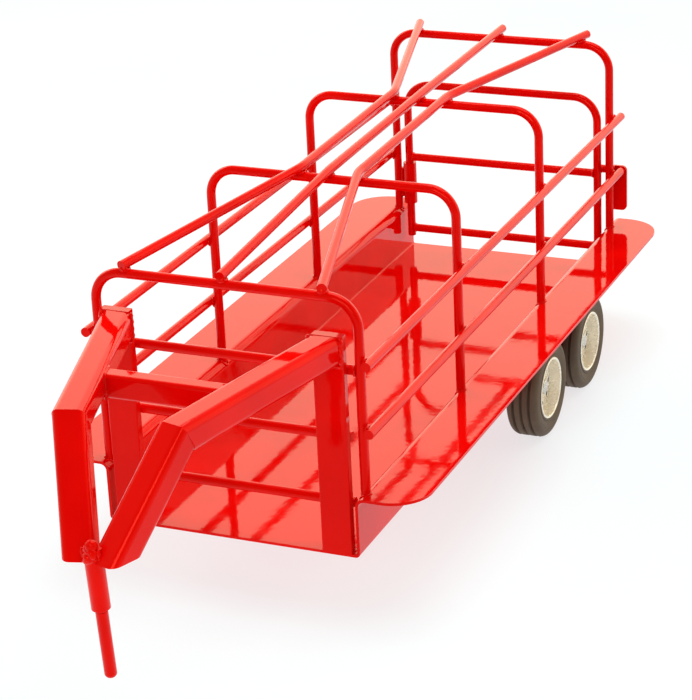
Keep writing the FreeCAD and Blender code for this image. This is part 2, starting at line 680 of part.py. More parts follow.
def make_gate():
    """Bent frame with two bars, just behind the plane of the last hoop."""
    frame = bent_frame("gate_frame", GATE_HALF, GATE_HEIGHT)
    place(frame, y=GATE_PLANE, z=GATE_FOOT)
    keep(frame)
    half = f"({GATE_HALF} - Sizes.rod_dia / 2)"
    for name, height in (("upper", "Sizes.gate_bar_high"), ("lower", "Sizes.gate_bar_low")):
        keep(rod(f"gate_bar_{name}", ALONG_X, f"2 * {half}", x=f"-{half}", y=GATE_PLANE,
                 z=f"{GATE_FOOT} + {height}"))


def make_latch():
    """Stub behind the gate's free leg, and the plate on it that stops the gate against the hoop."""
    arm_start = f"({GATE_HALF} - Sizes.rod_dia / 2)"
    behind = f"({GATE_PLANE} + Sizes.rod_dia)"
    keep(rod("latch_arm", ALONG_X, "Sizes.latch_arm_length", x=arm_start, y=behind,
             z=f"{GATE_FOOT} + Sizes.latch_arm_rise"))

    body = new_body("latch_plate")
    section = new_sketch(body, "XZ_Plane", "latch_plate_section")
    wide, tall = "Sizes.latch_width", "Sizes.latch_height"
    draw_outline(section, [(f"-{wide}", "0"), ("0", "0"), ("0", tall), (f"-{wide}", tall)])
    plate = pad(body, section, "Sizes.latch_gauge", Reversed=True)
    round_edges(body, plate, "Sizes.latch_corner", lambda edge: runs_along(edge, FreeCAD.Vector(0, 1, 0)))
    middle = f"-{wide} / 2"
    hole = new_sketch(body, "XZ_Plane", "latch_hole")
    draw_circle(hole, middle, "Sizes.latch_hole_rise", "Sizes.latch_hole_dia")
    pocket(body, hole, Reversed=True)
    seat = new_sketch(body, "XZ_Plane", "latch_seat")
    draw_circle(seat, middle, "Sizes.latch_seat_rise", "Sizes.latch_seat_dia")
    pocket(body, seat, "Sizes.latch_seat_depth", Reversed=True)
    place(body, x=f"{arm_start} + Sizes.latch_arm_length + Sizes.latch_overhang",
          y=f"{behind} + Sizes.rod_dia / 2", z=f"{GATE_FOOT} + Sizes.latch_foot_rise")
    keep(body)


def make_hinge(last_hoop):
    """Sleeve round the gate's right leg, and the web that holds it to the last hoop."""
    sleeve = new_body("hinge_sleeve")
    bore, outer = "(Sizes.rod_dia / 2 + Sizes.hinge_play)", "Sizes.hinge_dia / 2"
    turn(sleeve, [("0", bore), ("0", outer), ("Sizes.hinge_length", outer), ("Sizes.hinge_length", bore)])
    sleeve.Placement.Rotation = FreeCAD.Rotation(FreeCAD.Vector(0, 1, 0), -90)
    foot = f"{GATE_FOOT} + Sizes.hinge_rise"
    place(sleeve, x=f"-{GATE_HALF}", y=GATE_PLANE, z=foot)
    keep(sleeve)

    blank = doc.addObject("Part::Box", "hinge_web_blank")
    bind(blank, Length="Sizes.gate_side_gap", Width="Sizes.web_gauge",
         Height="Sizes.hinge_length - 2 * Sizes.web_margin")
    place(blank, x=f"-{HALF}", y=f"{LAST_HOOP} - Sizes.web_gauge / 2 + Sizes.gate_setback / 2",
          z=f"{foot} + Sizes.web_margin")
    core = doc.addObject("Part::Cylinder", "hinge_web_core")
    bind(core, Radius="Sizes.hinge_dia / 2", Height="Sizes.hinge_length")
    place(core, x=f"-{GATE_HALF}", y=GATE_PLANE, z=foot)
    against_hoop = doc.addObject("Part::Cut", "hinge_web_against_hoop")
    against_hoop.Base, against_hoop.Tool = blank, last_hoop
    web = doc.addObject("Part::Cut", "hinge_web")
    web.Base, web.Tool = against_hoop, core
    keep(web)


def write_parts():
    doc.recompute()
    for item in doc.Objects:
        if {"Invalid", "Error"} & set(item.State):
            raise RuntimeError(f"{item.Label} failed: {item.State}")
    for item in nodes:
        if item.Shape.isNull() or not item.Shape.isValid() or not item.Shape.Solids:
            raise RuntimeError(f"{item.Label} has no valid solid")
    os.makedirs("parts", exist_ok=True)
    for item in nodes:
        item.Shape.exportStep(f"parts/{item.Label}.step")
        print(f"{item.Label}: {len(item.Shape.Solids)} solid(s), {item.Shape.Volume:.1f} mm3")


def main():
    fill_sheet()
    pan = make_deck_pan()
    hoops = make_hoops(pan)
    make_side_rails()
    make_roof_rails()
    make_front_frame()
    make_gooseneck()
    make_coupler()
    make_wheels()
    make_gate()
    make_latch()
    make_hinge(hoops[-1])
    write_parts()


main()
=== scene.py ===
"""Looks of a toy gooseneck livestock trailer, in a plain white studio.

The coat is glossy red with weld beads, the tyres are ribbed rubber and the rims are pale dished metal.
Everything is in metres, in the frame's own axes: +Z up, the nose towards -Y, the gate at +Y.
"""

import json
import math

import bmesh
import bpy
from mathutils import Matrix, Vector, noise


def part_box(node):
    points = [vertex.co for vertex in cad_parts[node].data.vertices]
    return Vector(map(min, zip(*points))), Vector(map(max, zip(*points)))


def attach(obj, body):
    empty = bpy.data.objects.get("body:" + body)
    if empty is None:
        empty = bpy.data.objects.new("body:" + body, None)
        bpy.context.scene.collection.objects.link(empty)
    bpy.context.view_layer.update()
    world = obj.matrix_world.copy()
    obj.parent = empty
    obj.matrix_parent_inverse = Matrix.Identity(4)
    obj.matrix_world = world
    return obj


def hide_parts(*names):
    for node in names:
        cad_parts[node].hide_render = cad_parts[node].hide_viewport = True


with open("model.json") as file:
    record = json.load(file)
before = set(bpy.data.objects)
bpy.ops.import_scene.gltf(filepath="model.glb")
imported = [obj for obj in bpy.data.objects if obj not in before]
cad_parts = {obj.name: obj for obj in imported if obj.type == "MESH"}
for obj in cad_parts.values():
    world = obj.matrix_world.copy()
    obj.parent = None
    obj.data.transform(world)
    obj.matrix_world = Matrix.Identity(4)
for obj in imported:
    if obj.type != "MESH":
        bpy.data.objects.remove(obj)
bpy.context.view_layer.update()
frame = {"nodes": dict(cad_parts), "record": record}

MM = 0.001
SIDES = {"left": 1, "right": -1}
WHEELS = [(along, side) for along in ("front", "rear") for side in SIDES]
UP = Vector((0, 0, 1))


def low(node):
    """Lowest corner of a node's box."""
    return Vector(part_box(node)[0])


def high(node):
    """Highest corner of a node's box."""
    return Vector(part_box(node)[1])


def middle(node):
    """Centre of a node's box."""
    return (low(node) + high(node)) / 2


ROD = (high("hoop_2").y - low("hoop_2").y) / 2              # radius of every rod
DECK = high("deck_pan").z                                   # top of the flanges
HOOPS = [f"hoop_{number}" for number in (1, 2, 3, 4)]


# --- materials -----------------------------------------------------------------------------------

class Nodes:
    """Small helper that adds shader nodes and links them by name."""

    def __init__(self, name):
        self.material = bpy.data.materials.new(name)
        self.material.use_nodes = True
        self.tree = self.material.node_tree
        self.shader = self.tree.nodes["Principled BSDF"]
        self.place = self.add("ShaderNodeTexCoord").outputs["Object"]

    def add(self, kind, inputs=(), **settings):
        node = self.tree.nodes.new(kind)
        for name, value in settings.items():
            setattr(node, name, value)
        for name, value in dict(inputs).items():
            if isinstance(value, bpy.types.NodeSocket):
                self.tree.links.new(value, node.inputs[name])
            else:
                node.inputs[name].default_value = value
        return node

    def noise(self, scale, detail=3.0, roughness=0.5, place=None):
        inputs = {"Vector": place or self.place, "Scale": scale, "Detail": detail, "Roughness": roughness}
        return self.add("ShaderNodeTexNoise", inputs).outputs["Fac"]

    def cells(self, scale):
        """Distance to the nearest of many scattered points."""
        return self.add("ShaderNodeTexVoronoi", {"Vector": self.place, "Scale": scale}).outputs["Distance"]

    def ramp(self, value, start, finish, first, last):
        """Colour that goes from first to last as value goes from start to finish."""
        node = self.add("ShaderNodeValToRGB", {"Fac": value})
        node.color_ramp.elements[0].position = start
        node.color_ramp.elements[0].color = (*first, 1)
        node.color_ramp.elements[1].position = finish
        node.color_ramp.elements[1].color = (*last, 1)
        return node.outputs["Color"]

    def scale(self, value, start, finish, least, most):
        """Value taken from start..finish to least..most."""
        inputs = {"Value": value, "From Min": start, "From Max": finish, "To Min": least, "To Max": most}
        return self.add("ShaderNodeMapRange", inputs).outputs["Result"]

    def mix(self, share, first, second):
        """Colour between first and second, with the given share of second."""
        node = self.add("ShaderNodeMix", data_type="RGBA")
        first_socket, second_socket = node.inputs[6], node.inputs[7]
        given = ((node.inputs["Factor"], share), (first_socket, first), (second_socket, second))
        for socket, value in given:
            if isinstance(value, bpy.types.NodeSocket):
                self.tree.links.new(value, socket)
            else:
                socket.default_value = value
        return node.outputs[2]

    def bump(self, height, strength, distance, under=None):
        """Bumped normal, laid over the normal given as under."""
        inputs = {"Height": height, "Strength": strength, "Distance": distance}
        if under is not None:
            inputs["Normal"] = under
        return self.add("ShaderNodeBump", inputs).outputs["Normal"]

    def shade(self, **sockets):
        """Sets or links the shader's sockets and gives the material back."""
        for name, value in sockets.items():
            socket = self.shader.inputs[name.replace("_", " ")]
            if isinstance(value, bpy.types.NodeSocket):
                self.tree.links.new(value, socket)
            else:
                socket.default_value = value
        return self.material


def red_coat(name, ripple=0.0):
    """Wet-looking red coat with faint orange peel and dust, and a gloss that is red seen face-on."""
    deep_red, bright_red = (0.66, 0.0010, 0.0007), (0.80, 0.0024, 0.0012)
    dull_red, red_gloss = (0.40, 0.001, 0.001, 1), (1.0, 0.10, 0.06, 1)
    n = Nodes(name)
    drift = n.noise(28, detail=2)
    colour = n.ramp(drift, 0.35, 0.7, deep_red, bright_red)
    grain = n.scale(n.cells(620.0), 0.02, 0.09, 1.0, 0.0)
    thin = n.noise(90, detail=4, roughness=0.6)
    patches = n.scale(thin, 0.60, 0.72, 0.0, 1.0)
    dusty = n.add("ShaderNodeMath", {0: grain, 1: patches}, operation="MULTIPLY").outputs[0]
    colour = n.mix(n.scale(dusty, 0.0, 1.0, 0.0, 0.3), colour, dull_red)
    peel = n.bump(n.noise(300, detail=1.0), 0.034, 0.0004)
    normal = n.bump(n.noise(60, detail=1.0), 0.02, 0.0016, under=peel)
    if ripple:
        normal = n.bump(n.noise(900, detail=2.5), ripple, 0.0003, under=normal)
    n.shade(Specular_IOR_Level=0.62, Specular_Tint=red_gloss)
    return n.shade(Base_Color=colour, Roughness=n.scale(thin, 0.3, 0.7, 0.030, 0.065), Normal=normal)


def tyre_rubber():
    """Moulded rubber: warm near-black, matt, with a dusty bloom and a fine grain."""
    dark_rubber, dusty_rubber = (0.075, 0.048, 0.030), (0.135, 0.092, 0.060)
    n = Nodes("tyre_rubber")
    bloom = n.noise(60, detail=5, roughness=0.65)
    colour = n.ramp(bloom, 0.32, 0.75, dark_rubber, dusty_rubber)
    grain = n.bump(n.noise(1700, detail=3), 0.22, 0.00012)
    mould = n.bump(n.noise(180, detail=2), 0.10, 0.0005, under=grain)
    return n.shade(Base_Color=colour, Roughness=n.scale(bloom, 0.3, 0.75, 0.50, 0.70), Normal=mould,
                   Specular_IOR_Level=0.25)


def rim_metal():
    """Pale cast wheel with a warm metallic lacquer, a fine grain and small casting pits."""
    cream, pale_cream, pit_brown = (0.86, 0.79, 0.66), (0.95, 0.90, 0.80), (0.42, 0.36, 0.28, 1)
    n = Nodes("rim_metal")
    cloud = n.noise(240, detail=4, roughness=0.6)
    colour = n.ramp(cloud, 0.3, 0.75, cream, pale_cream)
    pits = n.scale(n.cells(900.0), 0.0, 0.12, 1.0, 0.0)
    colour = n.mix(n.scale(pits, 0.0, 1.0, 0.0, 0.12), colour, pit_brown)
    normal = n.bump(pits, 0.10, 0.0001, under=n.bump(n.noise(1300, detail=2), 0.06, 0.0001))
    return n.shade(Base_Color=colour, Metallic=0.35, Roughness=n.scale(cloud, 0.3, 0.75, 0.20, 0.36),
                   Normal=normal, Coat_Weight=0.3, Coat_Roughness=0.12)


def painted_window_shade():
    """Near-black brown of the pads that stand for the rims' windows: painted shade where the openings show
    the dark inside.
    """
    painted_shade_black, painted_shade_brown = (0.010, 0.007, 0.005), (0.045, 0.032, 0.022)
    n = Nodes("painted_window_shade")
    shade_mottle = n.noise(700, detail=3)
    # painted shade, mottled between near-black and dark brown by noise
    return n.shade(Base_Color=n.ramp(shade_mottle, 0.3, 0.7, painted_shade_black, painted_shade_brown),
                   Roughness=n.scale(shade_mottle, 0.3, 0.7, 0.5, 0.8))


def bright_steel():
    """Zinc-plated steel of the axle ends, with fine scratches."""
    dull_zinc, bright_zinc = (0.42, 0.40, 0.36), (0.74, 0.72, 0.68)
    n = Nodes("bright_steel")
    stretched = n.add("ShaderNodeMapping", {"Vector": n.place, "Scale": (1.0, 1.0, 9.0)}).outputs["Vector"]
    scratch = n.noise(420, detail=5, roughness=0.7, place=stretched)
    colour = n.ramp(scratch, 0.3, 0.7, dull_zinc, bright_zinc)
    return n.shade(Base_Color=colour, Metallic=1.0, Roughness=n.scale(scratch, 0.3, 0.7, 0.18, 0.38),
                   Normal=n.bump(scratch, 0.15, 0.0001))


def studio_floor():
    """Plain white sheet that glows by itself, so it stays white with faint shadows and little red bounce."""
    cool_grey, pale_grey, glow = (0.19, 0.27, 0.29), (0.21, 0.29, 0.31), (1.0, 0.96, 0.98, 1)
    n = Nodes("studio_floor")
    tone = n.ramp(n.noise(3, detail=2), 0.4, 0.6, cool_grey, pale_grey)
    return n.shade(Base_Color=tone, Roughness=0.9, Emission_Color=glow, Emission_Strength=0.74,
                   Specular_IOR_Level=0.05)


RED = red_coat("red_coat")
RED_WELD = red_coat("red_weld", ripple=0.10)
RUBBER = tyre_rubber()
RIM = rim_metal()
# painted shade: near-black pads in place of the rims' open windows
WINDOW_SHADE = painted_window_shade()
STEEL = bright_steel()


def paint_nodes():
    """Gives every CAD node its one material."""
    for name, piece in frame["nodes"].items():
        if name.startswith("tyre"):
            material = RUBBER
        elif name.startswith("rim"):
            material = RIM
        elif name == "axle_caps":
            material = STEEL
        else:
            material = RED
        piece.data.materials.clear()
        piece.data.materials.append(material)


# --- mesh helpers --------------------------------------------------------------------------------

def make_piece(name, mesh_builder, material, body):
    """Object from a bmesh, smooth shaded, riding on a body."""
    mesh = bpy.data.meshes.new(name)
    bmesh.ops.recalc_face_normals(mesh_builder, faces=mesh_builder.faces)
    mesh_builder.to_mesh(mesh)
    mesh_builder.free()
    mesh.polygons.foreach_set("use_smooth", [True] * len(mesh.polygons))
    mesh.set_sharp_from_angle(angle=math.radians(38))
    mesh.materials.append(material)
    piece = bpy.data.objects.new(name, mesh)
    bpy.context.scene.collection.objects.link(piece)
    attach(piece, body)
    return piece


def skin(build, rings, closed):
    """Joins rings of vertices with quads; the row of rings closes on itself or gets a cap at each end."""
    count = len(rings)
    for index in range(count if closed else count - 1):
        here, ahead = rings[index], rings[(index + 1) % count]
        for spot in range(len(here)):
            following = (spot + 1) % len(here)
            build.faces.new((here[spot], here[following], ahead[following], ahead[spot]))
    if not closed:
        build.faces.new(rings[0])
        build.faces.new(rings[-1])


def add_bead(build, points, radius, closed=False, sides=10, ripple=0.10):
    """Weld bead along points, its radius gently rippled by steps along it and by noise."""
    end_size, end_growth, grain = 0.45, 0.4, 900
    rings = []
    count = len(points)
    travelled = 0.0
    for index, point in enumerate(points):
        before = points[index - 1] if closed or index else point
        after = points[(index + 1) % count] if closed or index < count - 1 else point
        along = (after - before).normalized()
        across = along.orthogonal().normalized()
        other = along.cross(across)
        travelled += (point - before).length
        end = 1.0 if closed else min(1.0, end_size + end_growth * min(index, count - 1 - index))
        wave = 1 + ripple * math.sin(travelled / (1.1 * radius) * 2) + ripple * noise.noise(point * grain)
        size = radius * wave * end
        rings.append([build.verts.new(point + size * (math.cos(a) * across + math.sin(a) * other))
                      for a in (2 * math.pi * step / sides for step in range(sides))])
    align_rings(rings)
    skin(build, rings, closed)


def align_rings(rings):
    """Turns each ring's start so that quads between rings don't twist."""
    for before, here in zip(rings, rings[1:]):
        count = len(here)

        def twist(shift):
            return sum((before[spot].co - here[(spot + shift) % count].co).length
                       for spot in range(0, count, 2))

        best = min(range(count), key=twist)
        here[:] = here[best:] + here[:best]


def add_lump(build, centre, sizes, seed=0.0):
    """Small uneven drop of weld metal; seed picks its unevenness."""
    unevenness, coarseness = 0.16, 1.7
    made = bmesh.ops.create_icosphere(build, subdivisions=3, radius=1.0)
    for vertex in made["verts"]:
        swell = 1 + unevenness * noise.noise(vertex.co * coarseness + Vector((seed, seed * 0.7, 3.1)))
        vertex.co = centre + Vector(value * size * swell for value, size in zip(vertex.co, sizes))


def ring_points(centre, axis, radius, count=28):
    """Points of a circle about an axis."""
    axis = axis.normalized()
    across = axis.orthogonal().normalized()
    other = axis.cross(across)
    return [centre + radius * (math.cos(a) * across + math.sin(a) * other)
            for a in (2 * math.pi * step / count for step in range(count))]


def path_points(corners, spacing, closed=False):
    """Evenly spaced points along straight runs between corners."""
    runs = list(zip(corners, corners[1:] + corners[:1])) if closed else list(zip(corners, corners[1:]))
    points = []
    for start, finish in runs:
        steps = max(1, round((finish - start).length / spacing))
        points += [start.lerp(finish, step / steps) for step in range(steps)]
    return points if closed else points + [corners[-1]]


def add_lathe(build, outline, centre, axis_sign, segments=96):
    """Solid of revolution about a line along X; outline is a closed list of (x, radius)."""
    rings = []
    for step in range(segments):
        turn = 2 * math.pi * step / segments
        over, up = math.cos(turn), math.sin(turn)
        rings.append([build.verts.new(centre + Vector((axis_sign * x, radius * over, radius * up)))
                      for x, radius in outline])
    skin(build, rings, closed=True)


# --- weld beads ----------------------------------------------------------------------------------

LEG = high("hoop_2").x - ROD                                # centre of a hoop leg
ROOF_SPREAD, ROOF_GATHER = 42 * MM, 13 * MM                 # outer roof rails at the end and middle hoops
FOLD_RADIUS = 3.8 * MM                                      # the pan's bend under the hoop legs
FOLD_START = 57.6 * MM                                      # where it starts, from the centre line
BEAD = 0.55 * MM                                            # radius of a light bead
NECK_WIDTH, NECK_DEPTH = 12.7 * MM, 12.0 * MM               # the beams' square tube
NECK_ROOT_INSET, NECK_ROOT_RISE = 1.0 * MM, 66.8 * MM       # a beam's root, from its post and over the deck
NECK_BEND_SIDE, NECK_BEND_RISE = 20.9 * MM, 63.1 * MM       # its bend, from the middle and over the deck
NECK_BEND_FORWARD = 88.1 * MM                               # its bend, ahead of the first hoop
SLEEVE_WELD = (35.0, 40.5)                                  # mm up the sleeve's axis from the pin's mount
HEAP = ((-0.6, 37.0, 2.6, 2.4), (0.9, 38.6, 2.2, 2.2), (0.2, 40.6, 0.8, 2.6))   # mm: across, up, ahead, size


def fold_drop(x):
    """How far the pan's top face lies below the flange at a distance from the centre line."""
    inward = min(max(FOLD_START - abs(x), 0), 0.95 * FOLD_RADIUS)
    return FOLD_RADIUS - math.sqrt(FOLD_RADIUS ** 2 - inward ** 2)


def weld_piece(name, build, body="trailer"):
    """Piece of weld metal in the red coat."""
    return make_piece(name, build, RED_WELD, body)


def add_crossing(build, centre, axis, seed):
    """Ring of weld where two rods cross and touch, with one heavier drop."""
    add_bead(build, ring_points(centre, axis, 0.86 * ROD, count=20), 1.1 * BEAD, closed=True, ripple=0.16)
    spot = ring_points(centre, axis, 0.95 * ROD, count=8)[int(seed) % 8]
    add_lump(build, spot, (0.95 * MM, 0.95 * MM, 0.95 * MM), seed)


def weld_hoops():
    """Beads round the legs' feet and drops where the rails cross the rods."""
    for number, hoop in enumerate(HOOPS):
        build = bmesh.new()
        along = middle(hoop).y
        for sign in SIDES.values():
            foot = ring_points(Vector((sign * LEG, along, DECK)), UP, ROD + 0.15 * MM)
            for point in foot:
                point.z -= fold_drop(point.x)
            add_bead(build, foot, BEAD, closed=True, ripple=0.14)
            side = "left" if sign > 0 else "right"
            for rail in (f"side_rail_{side}_upper", f"side_rail_{side}_lower"):
                touch = Vector((sign * (LEG + ROD), along, middle(rail).z))
                add_crossing(build, touch, Vector((1, 0, 0)), number + 3 * sign + touch.z * 100)
        spread = ROOF_SPREAD if number in (0, 3) else ROOF_GATHER
        for x in (-spread, 0, spread):
            touch = Vector((x, along, high(hoop).z))
            add_crossing(build, touch, UP, number + 2 + x * 200)
            if hoop == HOOPS[0]:
                ahead_of_rod = touch + Vector((0, -0.7, 0.2)) * ROD
                add_lump(build, ahead_of_rod, (1.7 * MM, 0.95 * MM, 1.5 * MM), x * 300)
        weld_piece(f"welds_{hoop}", build)


class Neck:
    """Root and directions of one side's sloping beam."""

    def __init__(self, side):
        sign = SIDES[side]
        post = f"front_post_{side}"
        front = middle(HOOPS[0]).y
        root_side = abs(middle(post).x) - NECK_ROOT_INSET
        self.root = Vector((sign * root_side, low(post).y, DECK + NECK_ROOT_RISE))
        bend = Vector((sign * NECK_BEND_SIDE, front - NECK_BEND_FORWARD, DECK + NECK_BEND_RISE))
        self.forward = (bend - self.root).normalized()
        self.across = self.forward.cross(UP).normalized()
        self.top = self.across.cross(self.forward)
        self.inward = self.across * (-1 if self.across.x * sign > 0 else 1)

    def beam_section(self, point, normal):
        """Corners of the beam where a plane cuts it: two along its top, then two along its underside."""
        corners = []
        for over, under in ((-0.5, 0), (0.5, 0), (0.5, -1), (-0.5, -1)):
            start = self.root + self.across * over * NECK_WIDTH + self.top * under * NECK_DEPTH
            corners.append(start + self.forward * ((point - start).dot(normal) / self.forward.dot(normal)))
        return corners


def weld_neck():
    """Heavy beads with drops where the beams meet the posts, on their sides and underside."""
    for side, sign in SIDES.items():
        neck = Neck(side)
        build = bmesh.new()
        top_a, top_b, foot_b, foot_a = neck.beam_section(neck.root, Vector((0, 1, 0)))
        add_bead(build, path_points([top_a, foot_a, foot_b, top_b], 0.9 * MM), 0.85 * MM, ripple=0.2)
        outer_top = max(top_a, top_b, key=lambda corner: corner.x * sign)
        outer_foot = max(foot_a, foot_b, key=lambda corner: corner.x * sign)
        for share in (0.2, 0.5, 0.8):
            spot = outer_top.lerp(outer_foot, share)
            add_lump(build, spot, (1.2 * MM, 1.1 * MM, 1.7 * MM), share * 9 + sign)
        weld_piece(f"welds_neck_{side}", build)


def weld_cross_tube():
    """Bead round each end of the cross tube, where the beam's inner face cuts it."""
    build = bmesh.new()
    tube_low, tube_high = low("neck_cross_tube"), high("neck_cross_tube")
    for side in SIDES:
        neck = Neck(side)
        face = neck.root + neck.inward * NECK_WIDTH / 2
        corners = []
        for y, z in ((tube_low.y, tube_low.z), (tube_high.y, tube_low.z), (tube_high.y, tube_high.z),
                     (tube_low.y, tube_high.z)):
            start = Vector((0, y, z))
            reach = (face - start).dot(neck.inward) / neck.inward.x
            corners.append(start + Vector((reach, 0, 0)))
        add_bead(build, path_points(corners, 0.8 * MM, closed=True), 0.7 * MM, closed=True, ripple=0.18)
        add_lump(build, corners[0].lerp(corners[3], 0.3), (1.1 * MM, 0.9 * MM, 1.6 * MM), 2.0)
    weld_piece("welds_cross_tube", build)


def weld_coupler():
    """Beads between the legs and the sleeve, and a heap of weld over the sleeve's upper end."""
    build = bmesh.new()
    pin = frame["record"]["mounts"][0]
    lean = Vector(pin["axis"])
    base = Vector(pin["pos_m"])
    radius = (high("coupler_sleeve").x - low("coupler_sleeve").x) / 2
    fore = lean.cross(Vector((1, 0, 0))).normalized()
    for sign in SIDES.values():
        for facing in (-1, 1):
            start, finish = (base - lean * reach * MM for reach in SLEEVE_WELD)
            shift = Vector((sign * 0.93 * radius, 0, 0)) + fore * facing * 0.45 * radius
            add_bead(build, path_points([start + shift, finish + shift], 0.8 * MM), 0.85 * MM, ripple=0.2)
    for across, reach, forward, size in HEAP:
        spot = base - lean * reach * MM + fore * forward * MM + Vector((across * MM, 0, 0))
        add_lump(build, spot, (size * MM, 0.85 * size * MM, 1.1 * size * MM), reach)
    weld_piece("welds_coupler", build)


def weld_front_frame():
    """Beads at the posts' feet and where the cross rods touch the posts and the first hoop."""
    bead, front_setback, line_inset = 0.6 * MM, 0.6 * MM, 1.2 * MM
    build = bmesh.new()
    for side, sign in SIDES.items():
        post_low, post_high = low(f"front_post_{side}"), high(f"front_post_{side}")
        front = post_low.y + front_setback
        foot = [Vector((x, y, post_low.z)) for x, y in (
            (post_low.x, front), (post_low.x, post_high.y),
            (post_high.x, post_high.y), (post_high.x, front))]
        add_bead(build, path_points(foot, 0.8 * MM), bead, ripple=0.15)
        for rod in ("upper", "middle", "lower"):
            height = middle(f"front_rod_{rod}").z
            for lift in (-1, 1):
                line = [Vector((x, post_high.y + 0.35 * MM, height + lift * 1.35 * MM))
                        for x in (post_low.x + line_inset, post_high.x - line_inset)]
                add_bead(build, path_points(line, 0.8 * MM), bead, ripple=0.18)
        rod = middle("front_rod_upper")
        rod_end = Vector((sign * (LEG - ROD), rod.y, rod.z))
        ring = ring_points(rod_end, Vector((1, 0, 0)), 0.95 * ROD)
        add_bead(build, ring, 1.1 * BEAD, closed=True, ripple=0.15)
    weld_piece("welds_front_frame", build)


def weld_gate():
    """Rings where the gate's bars meet its frame, and the beads of the latch arm and plate."""
    build = bmesh.new()
    leg = high("gate_frame").x - ROD
    for bar in ("gate_bar_upper", "gate_bar_lower"):
        for sign in SIDES.values():
            centre = Vector((sign * (leg - ROD), middle(bar).y, middle(bar).z))
            ring = ring_points(centre, Vector((1, 0, 0)), 0.95 * ROD)
            add_bead(build, ring, BEAD, closed=True, ripple=0.15)
    arm = middle("latch_arm")
    add_crossing(build, Vector((leg, low("latch_arm").y, arm.z)), Vector((0, 1, 0)), 4)
    plate = low("latch_plate")
    for lift in (-1, 1):
        line = [Vector((x, plate.y - 0.35 * MM, arm.z + lift * 0.9 * MM))
                for x in (plate.x + 0.4 * MM, high("latch_arm").x)]
        add_bead(build, path_points(line, 0.6 * MM), 0.45 * MM, ripple=0.15)
    weld_piece("welds_gate", build, "gate")


def weld_hinge():
    """Beads along both faces of the web that holds the hinge sleeve."""
    build = bmesh.new()
    web_low, web_high = low("hinge_web"), high("hinge_web")
    for y in (web_low.y, web_high.y):
        line = [Vector((middle("hinge_web").x, y, z)) for z in (web_low.z, web_high.z)]
        add_bead(build, path_points(line, 0.8 * MM), 0.75 * MM, ripple=0.2)
    weld_piece("welds_hinge", build)


def weld_axles():
    """Short stitches under the floor on both sides of each axle."""
    setback, stitch, places = 1.9 * MM, 7, (-42, 0, 42)
    build = bmesh.new()
    floor = low("deck_pan").z
    for axle in ("axle_front", "axle_rear"):
        for x in places:
            for facing in (-1, 1):
                line = [Vector(((x + reach) * MM, middle(axle).y + facing * setback, floor - 0.5 * MM))
                        for reach in (-stitch, stitch)]
                add_bead(build, path_points(line, 0.9 * MM), 0.8 * MM, ripple=0.2)
    weld_piece("welds_axles", build)


# --- wheels --------------------------------------------------------------------------------------

WINDOWS = 8
WINDOW_CIRCLE = 8.5 * MM
DISH_RUN, DISH_LIFT = 8.8 * MM, 0.7 * MM                    # the dish leans outboard towards the hub
DISH_AT_WINDOW = 2.24 * MM                                  # its face there, outboard of the wheel's middle
WINDOW_PROUD = 0.15 * MM                                    # how far a window's ring stands off the dish
LIP_BEAD, LIP_INSET = 0.55 * MM, 0.75 * MM                  # the rim's rolled lip, and its setback
COLLAR = ((2.6, 3.3), (2.6, 3.9), (2.9, 4.0), (3.15, 3.85), (3.15, 3.5), (2.9, 3.3))   # mm: across, radius
NUT_CIRCLE, NUT_SEAT = 5.3 * MM, 2.7 * MM


def tyre_outline(half, bead, tread):
    """Closed section of a tyre as (across, radius): bead ring, bulged side, shoulder, grooved tread."""
    shoulder = 3.4 * MM
    bead_ring = ((0.75, 0), (0.35, 0.35), (0.4, 1.0), (0.7, 1.3), (0.25, 2.6), (0, 4.2))   # mm: inset, rise
    side_line = ((0, 0.75), (0.12, 0.6), (0.02, 0.4))       # mm: inset, and below the shoulder
    side = [(half - inset * MM, bead + rise * MM) for inset, rise in bead_ring]
    side += [(half - inset * MM, tread - shoulder - below * MM) for inset, below in side_line]
    arc = [(half - shoulder + shoulder * math.cos(a), tread - shoulder + shoulder * math.sin(a))
           for a in (math.radians(10 * step) for step in range(0, 9))]
    right = side + arc
    ribs = []
    groove, depth, ease = 0.65 * MM, 1.6 * MM, 0.2 * MM
    wall = [(groove + ease, tread), (groove, tread - ease), (groove - ease, tread - depth + ease),
            (groove - 2 * ease, tread - depth)]
    for index in (1, 0, -1):
        centre = index * half / 2
        ribs += [(centre + x, radius) for x, radius in wall]
        ribs += [(centre - x, radius) for x, radius in reversed(wall)]
    left = [(-x, radius) for x, radius in reversed(right)]
    return right + ribs + left


def add_pad(build, centre, axis, radius, gauge):
    """Thin round pad with a slightly domed rim."""
    rings = [[build.verts.new(point) for point in ring_points(centre + axis * lift, axis, size)]
             for lift, size in ((-gauge, radius), (gauge * 0.5, radius), (gauge, 0.9 * radius))]
    skin(build, rings, closed=False)


def make_tyre(label, body, centre, sign, outline):
    """Turned tyre that stands in for the CAD one."""
    build = bmesh.new()
    add_lathe(build, outline, centre, sign, segments=160)
    piece = make_piece(f"tyre_skin_{label}", build, RUBBER, body)
    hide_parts(f"tyre_{label}")


def window_places(centre, sign):
    """Centre and facing of each window in the dish."""
    places = []
    for step in range(WINDOWS):
        turn = 2 * math.pi * step / WINDOWS
        spoke = Vector((0, math.cos(turn), math.sin(turn)))
        facing = (Vector((DISH_RUN, 0, 0)) + spoke * DISH_LIFT * sign).normalized()
        dish = centre + Vector((sign * DISH_AT_WINDOW, 0, 0)) + spoke * WINDOW_CIRCLE
        places.append((dish + facing * sign * WINDOW_PROUD, facing))
    return places


def make_windows(label, body, places):
    """Dark pads of painted shade that stand for the openings in the dish."""
    build = bmesh.new()
    for window, facing in places:
        add_pad(build, window, facing, 1.45 * MM, 0.25 * MM)
    make_piece(f"rim_window_shade_{label}", build, WINDOW_SHADE, body)


